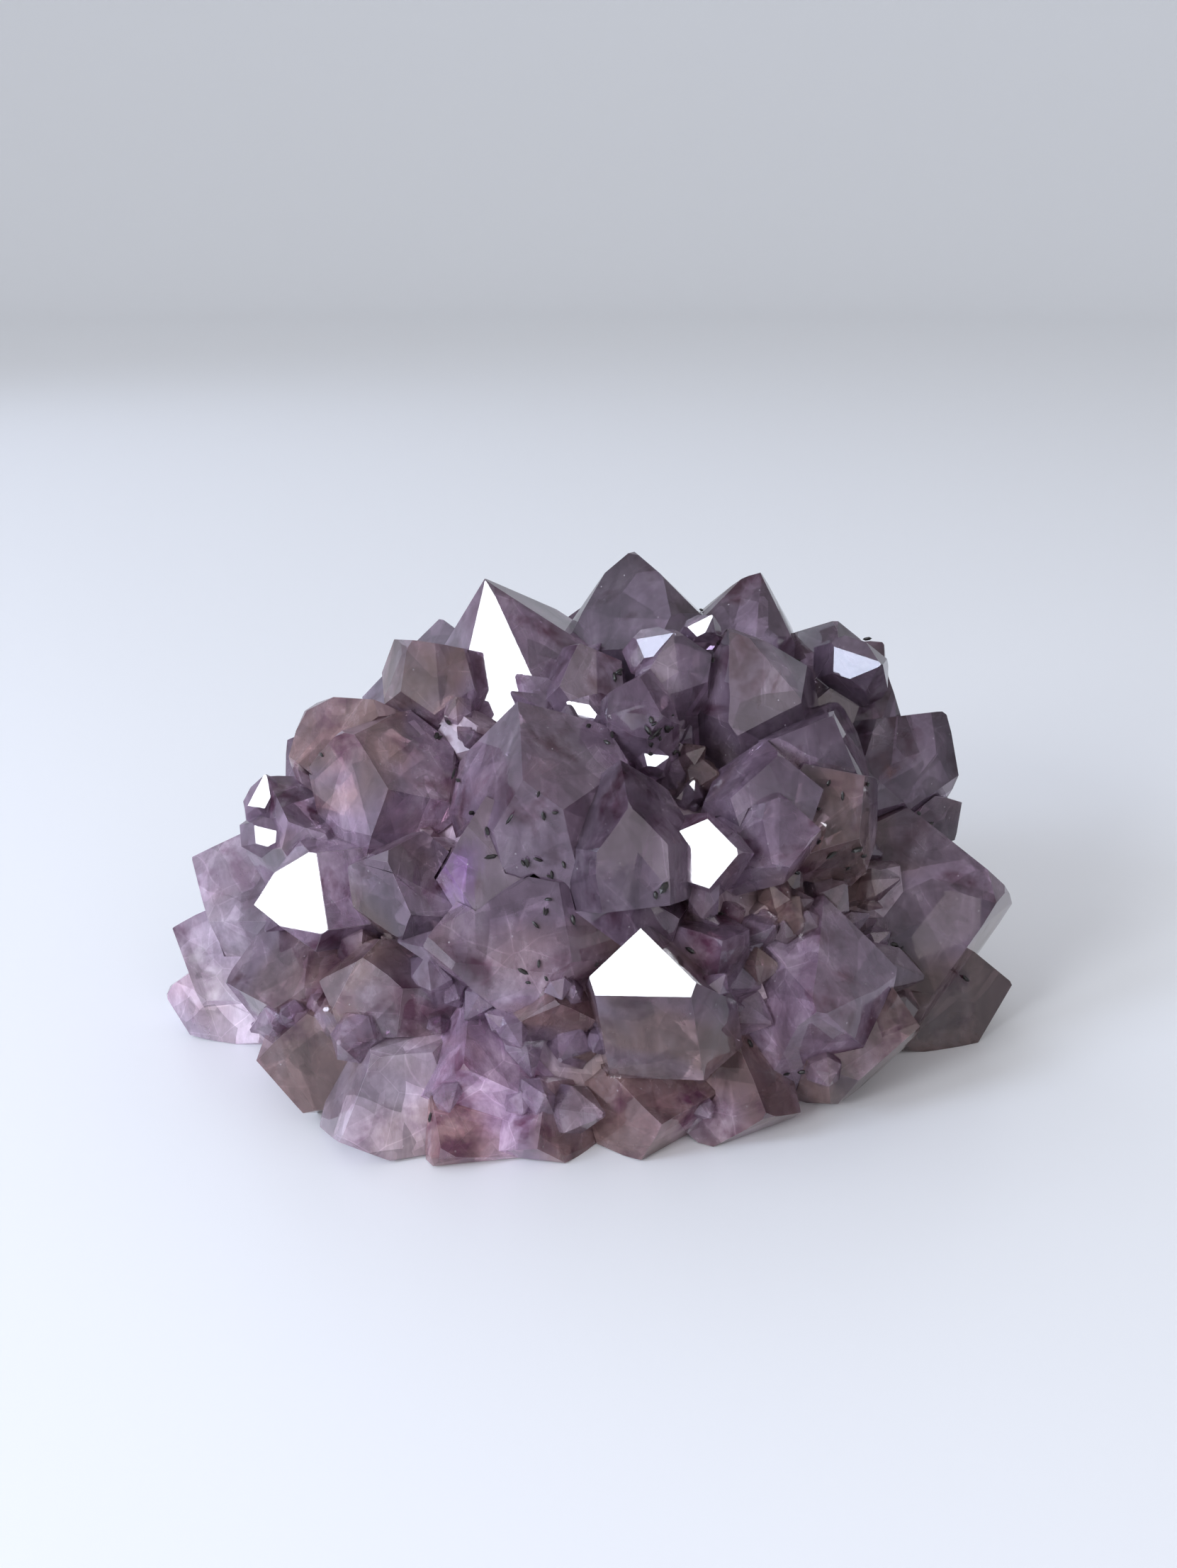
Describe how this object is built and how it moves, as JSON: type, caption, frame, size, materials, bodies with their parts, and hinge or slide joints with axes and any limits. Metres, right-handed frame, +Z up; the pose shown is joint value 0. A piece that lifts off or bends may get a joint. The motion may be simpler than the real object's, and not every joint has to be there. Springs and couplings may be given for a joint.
{
  "type": "amethyst crystal cluster",
  "caption": "Rounded cluster of purple-grey quartz points grown side by side on a low massive quartz root with a flat underside.",
  "frame": {"origin": "under the middle of the cluster's bounding box, on the plane it rests on", "axes": "+X along the longest extent, from left to right as seen from the front; +Y from the front to the back; +Z up"},
  "size_m": [0.097, 0.079, 0.0534],
  "materials": {
    "mauve_amethyst": "clear to cloudy mauve-grey crystal faces, glossy",
    "smoky_amethyst": "smoky brown-grey crystal faces, glossy",
    "pale_amethyst": "pale milky lilac crystal faces, glossy",
    "massive_quartz": "milky grey massive quartz with small drusy points, sugary"
  },
  "bodies": {
    "root": {"left_peak": "mauve_amethyst", "front_glint": "mauve_amethyst", "right_glint": "mauve_amethyst", "left_glint": "mauve_amethyst", "centre_left": "mauve_amethyst", "crown_front": "mauve_amethyst", "right_point": "smoky_amethyst", "front_right": "mauve_amethyst", "centre_front": "mauve_amethyst", "centre_lavender": "mauve_amethyst", "front_left": "mauve_amethyst", "left_shoulder": "mauve_amethyst", "back_peak": "mauve_amethyst", "back_right_peak": "mauve_amethyst", "right_shoulder": "mauve_amethyst", "right_step": "mauve_amethyst", "low_left": "smoky_amethyst", "brown_left": "smoky_amethyst", "chipped_left": "mauve_amethyst", "left_flank": "pale_amethyst", "left_low_flank": "pale_amethyst", "left_foot": "pale_amethyst", "left_blade": "mauve_amethyst", "tan_point": "smoky_amethyst", "crown_left": "mauve_amethyst", "crown_small": "mauve_amethyst", "crown_low": "mauve_amethyst", "brown_shoulder": "smoky_amethyst", "back_block": "mauve_amethyst", "back_corner": "smoky_amethyst", "right_foot": "smoky_amethyst", "right_front_foot": "smoky_amethyst", "blue_blade": "mauve_amethyst", "centre_right": "mauve_amethyst", "dark_right": "mauve_amethyst", "brown_right": "smoky_amethyst", "right_spur": "smoky_amethyst", "mid_front": "mauve_amethyst", "low_front": "mauve_amethyst", "front_foot_1": "pale_amethyst", "front_foot_2": "smoky_amethyst", "front_foot_3": "smoky_amethyst", "front_foot_4": "smoky_amethyst", "front_foot_5": "mauve_amethyst", "tan_front": "smoky_amethyst", "hollow_right": "mauve_amethyst", "mid_left": "mauve_amethyst", "back_low_1": "smoky_amethyst", "back_low_2": "smoky_amethyst", "back_low_3": "smoky_amethyst", "back_low_4": "mauve_amethyst", "back_low_5": "mauve_amethyst", "back_middle_1": "smoky_amethyst", "back_middle_2": "smoky_amethyst", "back_middle_3": "mauve_amethyst", "back_middle_4": "mauve_amethyst", "back_middle_5": "mauve_amethyst", "back_upper_1": "smoky_amethyst", "back_upper_2": "mauve_amethyst", "quartz_root": "massive_quartz"}
  },
  "joints": []
}
